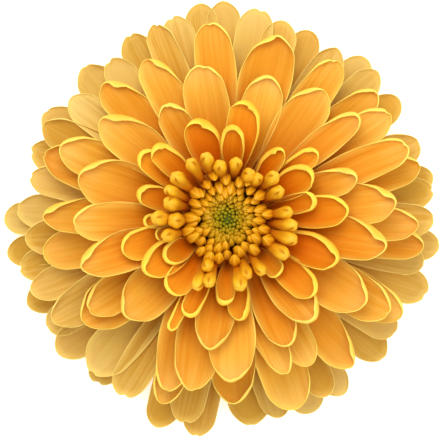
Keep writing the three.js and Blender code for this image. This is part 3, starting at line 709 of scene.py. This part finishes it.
# closed buds along arcs: rings of a radius profile about the path, drawn to a point at both ends, with
# low lobes that swell as a cosine round the ring and a slit pressed into the side that faces up
def addBuds(name, buds, shape, material, replaced, slot):
    rows, sides = shape["grid"]
    share = ((1 - np.cos(np.linspace(0, np.pi, rows))) / 2)[None, :, None]
    angle = (2 * np.pi * np.arange(sides) / sides)[None, None, :]
    azimuth, r0, z0, rise, length, bend, size = [np.asarray(c, float)[:, None, None] for c in buds.T]
    k = np.where(np.abs(bend) < 0.02, 0.02, bend) / length
    slope = rise + k * share * length
    r = r0 + (np.sin(slope) - np.sin(rise)) / k
    z = z0 - (np.cos(slope) - np.cos(rise)) / k
    radius = size * np.interp(share, *np.array(shape["profile"]).T)
    number = np.arange(len(buds))[:, None, None]
    offSlit = angle - np.pi / 2 - vary(number, shape["slitStray"])
    groove = np.exp(-((np.angle(np.exp(1j * offSlit)) / shape["slitWidth"]) ** 2))
    groove = groove * np.exp(-(((share - shape["slitAt"]) / shape["slitLength"]) ** 2))
    swelling = np.cos(budLobes["count"] * offSlit)
    lobes = 1 + shape["lobes"] * swelling * smoothstep(share, *budLobes["lobesRise"])
    seam = (0.5 - 0.5 * swelling) ** budLobes["seamSharpness"] * smoothstep(share, *budLobes["seamsRise"])
    radius = radius * lobes * (1 - shape["slitDepth"] * groove)
    radial = np.stack([np.cos(azimuth), np.sin(azimuth), 0 * azimuth], -1)
    across = np.stack([-np.sin(azimuth), np.cos(azimuth), 0 * azimuth], -1)
    up = -np.sin(slope)[..., None] * radial + np.cos(slope)[..., None] * np.array([0, 0, 1.0])
    points = radial * r[..., None] + z[..., None] * np.array([0, 0, 1.0])
    points = points + across * (radius * np.cos(angle))[..., None]
    points = points + up * (radius * np.sin(angle))[..., None]
    count = len(buds)
    ring = np.arange(rows * sides).reshape(rows, sides)
    following = np.roll(ring, -1, 1)
    body = np.stack([ring[:-1], following[:-1], following[1:], ring[1:]], -1).reshape(-1, 4)
    quads = (body[None] + (np.arange(count) * rows * sides)[:, None, None]).reshape(-1, 4)
    each = points.shape[:-1]
    values = {
        "along": np.broadcast_to(share, each),
        "groove": np.broadcast_to(np.maximum(groove, shape["seams"] * seam), each),
        "petal": np.broadcast_to(vary(number, petalVariety["petal"]), each),
        "outward": np.hypot(points[..., 0], points[..., 1]),
    }
    addPiece(name, points.reshape(-1, 3), quads, values, material, replaced, slot)


# what the skins of all buds share; the grain is in mm
budFinish = {
    "warmth": 0.3, "slitAndSeamShade": 0.7, "grain": 5 / 7, "relief": {"Strength": 0.15, "Distance": 0.1 * mm},
    "through": 0.15, "skin": {"Roughness": 0.42, "IOR": 1.42, "Specular IOR Level": 0.4},
}


# bud: young waxy tissue, smoother than an open petal, so it shows small soft highlights, with a dark foot
# that is painted shade, so that the gaps between buds look dark, and a darker slit and seams that are
# painted shade too. The span is the distances in mm from the middle of the eye over which its colours run,
# and the fade is where the foot's painted shade gives way to the tip's colour.
def budSkin(name, look):
    material, add, read = startMaterial(name, ("along", "groove", "petal", "outward"))
    finish = budFinish
    (near, far), (low, high) = look["span"], look["fade"]
    radial = add("MapRange", {"From Min": near, "From Max": far}, {"Value": read["outward"]})
    # painted shade: the foot of each bud is darkened, as the gaps between buds lie in shade
    colour = add("Mix", {"data_type": "RGBA"}, {
        0: add("MapRange", {"From Min": low, "From Max": high}, {"Value": read["along"]}),
        6: add("ValToRGB", {"stops": look["shadedFeet"]}, {"Fac": radial}),
        7: add("ValToRGB", {"stops": look["tips"]}, {"Fac": radial}),
    }, 2)
    warmth = add("MapRange", {"To Max": finish["warmth"]}, {"Value": read["petal"]})
    colour = add("Mix", {"data_type": "RGBA", 7: look["warmer"]}, {0: warmth, 6: colour}, 2)
    # painted shade in the slit pressed into each bud and in the seams between its lobes
    slitAndSeamShade = add("Math", {"operation": "MULTIPLY", 1: finish["slitAndSeamShade"]}, {0: read["groove"]})
    colour = add("Mix", {"data_type": "RGBA", 7: look["slitAndSeamShade"]}, {0: slitAndSeamShade, 6: colour}, 2)
    place = add("TexCoord", {}, {}, "Object")
    grain = add("TexNoise", {"Scale": 1 / (finish["grain"] * mm), "Detail": 2.0}, {"Vector": place})
    bump = add("Bump", finish["relief"], {"Height": grain})
    finishTissue(add, colour, bump, finish["through"], finish["skin"])
    return material


# wreath of half-closed florets: azimuth in degrees and reach of each knob from the middle of the eye
wreath = np.array([
    [6, 16], [28, 15.4], [42, 16.5], [53, 13.5], [64, 13.2], [81, 15], [98, 14.2], [109, 17],
    [123, 17.3], [141, 17.2], [154, 16.9], [164.5, 15.8], [179.5, 18.4], [182, 14], [196, 16.6],
    [246, 19], [247, 13.8], [254, 17.4], [281, 17.8], [289.5, 15.6], [303, 16.4], [328, 17.4],
    [342, 17.7], [354, 17.1],
])
# rise falls with the reach from the nearest knobs to those 6 mm further out; bends and sizes vary
wreathForm = {
    "root": (7.4, 26.3), "rise": (48, 34), "nearest": 12.5, "range": 6, "knobAt": 0.84, "radius": 2,
    "bends": (4, 28, 42), "sizes": (2, 0.85, 1.12),
}
i = np.arange(len(wreath))
reach, (rootRadius, rootHeight) = wreath[:, 1], wreathForm["root"]
rise = np.radians(mix(*wreathForm["rise"], (reach - wreathForm["nearest"]) / wreathForm["range"]))
bend = np.radians(vary(i, wreathForm["bends"]))
length = (reach - rootRadius) * bend / (np.sin(rise + wreathForm["knobAt"] * bend) - np.sin(rise))
outerClubs = np.stack([
    np.radians(wreath[:, 0]), np.full(len(i), rootRadius), np.full(len(i), rootHeight), rise, length, bend,
    wreathForm["radius"] * vary(i, wreathForm["sizes"]),
], 1)
clubSkin = budSkin("bud skin, golden club florets", {
    "span": (8, 18), "tips": [(0, "#ECAE10"), (0.5, "#EEB014"), (1, "#F2BC22")],
    "shadedFeet": [(0, "#7A2802"), (0.5, "#BE4C04"), (1, "#D46406")], "fade": (0.4, 0.92), "warmer": "#E2960C",
    "slitAndSeamShade": "#B45A08",
})
outerClubShape = {
    "profile": [
        (0, 0), (0.1, 0.4), (0.45, 0.58), (0.68, 0.84), (0.83, 1), (0.93, 0.86), (0.985, 0.45), (1, 0),
    ],
    "slitWidth": 0.34, "slitAt": 0.95, "slitLength": 0.12, "slitDepth": 0.6, "slitStray": (19, -1.6, 1.6),
    "lobes": 0.04, "seams": 0.3, "grid": (26, 30),
}
addBuds("outerClubs", outerClubs, outerClubShape, clubSkin, "club_florets", "club")

# inside the wreath, pointed florets in a spiral that bend over towards the eye: pairs run from its inner
# end to its outer end, and threes are a draw and its range
innerForm = {
    "count": 58, "firstStep": 60, "rootRadius": (8, 8.9), "rootHeight": 26.6, "rise": (76, 26),
    "length": (8.2, 12.4), "bend": (66, 116), "radius": (1.2, 1.6), "turns": (30, -0.06, 0.06),
    "rises": (31, -5, 5), "lengths": (6, 0.9, 1.08), "bends": (7, 0.88, 1.1), "sizes": (5, 0.85, 1.12),
}
i = np.arange(innerForm["count"])
t = (i + 0.5) / innerForm["count"]
innerClubs = np.stack([
    goldenAngle * (i + innerForm["firstStep"]) + vary(i, innerForm["turns"]),
    mix(*innerForm["rootRadius"], t), np.full(len(i), innerForm["rootHeight"]),
    np.radians(mix(*innerForm["rise"], t) + vary(i, innerForm["rises"])),
    mix(*innerForm["length"], t) * vary(i, innerForm["lengths"]),
    np.radians(mix(*innerForm["bend"], t) * vary(i, innerForm["bends"])),
    mix(*innerForm["radius"], t) * vary(i, innerForm["sizes"]),
], 1)
innerClubShape = {
    "profile": [(0, 0), (0.1, 0.35), (0.35, 0.6), (0.66, 1), (0.8, 0.88), (0.93, 0.45), (1, 0)],
    "slitWidth": 0.3, "slitAt": 0.9, "slitLength": 0.1, "slitDepth": 0.15, "slitStray": (19, -1.5, 1.5),
    "lobes": 0.08, "seams": 0.55, "grid": (18, 25),
}
addBuds("innerClubs", innerClubs, innerClubShape, clubSkin, "club_florets", "club")

# the eye: buds in a spiral on a dome that falls off towards its edge, larger and more bent outwards
eyeForm = {
    "count": 125, "spread": 6.5, "height": 29.7, "fall": 1.3, "rise": (88, 60), "length": (1.7, 6.7),
    "bend": (8, 84), "radius": (0.36, 1.2), "turns": (32, -0.45, 0.45), "strays": (33, -0.45, 0.45),
    "lengths": (34, 0.92, 1.12), "bends": (36, 0.85, 1.1), "sizes": (35, 0.8, 1.15),
}
i = np.arange(eyeForm["count"])
t = np.sqrt((i + 0.5) / eyeForm["count"])
spread = eyeForm["spread"] * t
eyeBuds = np.stack([
    goldenAngle * i + t * vary(i, eyeForm["turns"]) / np.maximum(spread, 1),
    spread + t * vary(i, eyeForm["strays"]), eyeForm["height"] - eyeForm["fall"] * t * t,
    np.radians(mix(*eyeForm["rise"], t)),
    mix(*eyeForm["length"], t * t) * vary(i, eyeForm["lengths"]),
    np.radians(mix(*eyeForm["bend"], t) * vary(i, eyeForm["bends"])),
    mix(*eyeForm["radius"], t) * vary(i, eyeForm["sizes"]),
], 1)
eyeSkin = budSkin("bud skin, eye", {
    "span": (0, 9), "tips": [(0, "#8E9E16"), (0.3, "#BAA816"), (0.5, "#D4A414"), (1, "#E8AE12")],
    "shadedFeet": [(0, "#2E3E08"), (0.4, "#4E3E06"), (1, "#6A3204")],
    "fade": (0.4, 0.85), "warmer": "#C49410", "slitAndSeamShade": "#6A3A06",
})
eyeShape = {
    "profile": [(0, 0), (0.15, 0.6), (0.55, 1), (0.8, 0.7), (1, 0)],
    "slitWidth": 0.4, "slitAt": 0.85, "slitLength": 0.1, "slitDepth": 0.1, "slitStray": (19, -1.5, 1.5),
    "lobes": 0.1, "seams": 0.5, "grid": (12, 20),
}
addBuds("eyeBuds", eyeBuds, eyeShape, eyeSkin, "eye_buds", "eye")

# the disc and the dome that the buds stand on, seen only in the gaps between buds, coloured dark red-brown
# and dark olive as painted shade
gapShadeSkin = greenSkin("bud ground, painted shade, red-brown", {
    "along": [(0, "#B44404"), (1, "#8A3C04")], "rib": "#B84C06", "speck": "#7A2C04",
    "grain": 2 / 3, "fuzz": 0,
})
disc = {
    "profile": [[0, 25.1], [9, 25.1], [8.7, 27.3], [0, 27.3]],
    "grid": (30, 64), "eased": 1, "ribs": (20, 0.01, 25, 27),
}
addTurned("clubDisc", disc, gapShadeSkin, "club_florets", "club")
# painted shade: the dome is coloured dark, so that the gaps between the eye's buds read as shade
domeShadeSkin = greenSkin("bud ground, painted shade, eye", {
    "along": [(0, "#7A3806"), (0.7, "#6A4E08"), (1, "#5C7010")], "rib": "#6E6A10", "speck": "#4E5A0C",
    "grain": 2 / 3, "fuzz": 0,
})
dome = {
    "profile": [[0, 27.65], [6.4, 27.65], [5.9, 28.9], [3.2, 30], [0, 30.4]],
    "grid": (30, 64), "eased": 1, "ribs": (20, 0.01, 27, 29),
}
addTurned("eyeDome", dome, domeShadeSkin, "eye_buds", "eye")

# pale table, 6 m square, that glows a little, so that shadows stay faint
table = {"half": 3, "colour": "#FCFCFB", "roughness": 0.9, "glow": 0.5}
side = table["half"]
floorMesh = bpy.data.meshes.new("floor")
corners = [(-side, -side, 0), (side, -side, 0), (side, side, 0), (-side, side, 0)]
floorMesh.from_pydata(corners, [], [(0, 1, 2, 3)])
floor = bpy.data.objects.new("floor", floorMesh)
bpy.context.scene.collection.objects.link(floor)
floorPaint = bpy.data.materials.new("pale light table")
floorPaint.use_nodes = True
paint = floorPaint.node_tree.nodes["Principled BSDF"].inputs
paint["Base Color"].default_value = linear(table["colour"])
paint["Roughness"].default_value = table["roughness"]
paint["Emission Color"].default_value = (1, 1, 1, 1)
paint["Emission Strength"].default_value = table["glow"]
floorMesh.materials.append(floorPaint)

# white light all round, a softbox above the top of the picture and a weaker fill; metres and watts
studio = {
    "sky": 0.82,
    "softbox": {"place": (-0.1, 0.42, 0.93), "size": 0.6, "power": 7.6},
    "fill": {"place": (0.5, -0.3, 0.9), "size": 0.8, "power": 3.3},
}
world = bpy.data.worlds.new("studio")
bpy.context.scene.world = world
world.use_nodes = True
world.node_tree.nodes["Background"].inputs["Color"].default_value = (1, 1, 1, 1)
world.node_tree.nodes["Background"].inputs["Strength"].default_value = studio["sky"]
for name in ("softbox", "fill"):
    light = bpy.data.lights.new(name, "AREA")
    light.size, light.energy = studio[name]["size"], studio[name]["power"]
    lamp = bpy.data.objects.new(name, light)
    bpy.context.scene.collection.objects.link(lamp)
    lamp.location = studio[name]["place"]
    lamp.rotation_euler = (-Vector(studio[name]["place"])).to_track_quat("-Z", "Y").to_euler()

# straight above, with a lens so long that the bloom shows no perspective; lens and sensor in mm, the
# rest in metres
view = {"lens": 450, "sensor": 36, "distance": 1.543, "target": (0.0004, -0.0014, 0.012)}
camera = bpy.data.cameras.new("camera")
camera.lens, camera.sensor_width = view["lens"], view["sensor"]
cameraObject = bpy.data.objects.new("camera", camera)
bpy.context.scene.collection.objects.link(cameraObject)
cameraObject.location = Vector(view["target"]) + Vector((0, 0, view["distance"]))
bpy.context.scene.camera = cameraObject
bpy.context.scene.view_settings.view_transform = "Standard"  # reaches the petals' saturated orange
print("floor, light and camera set")
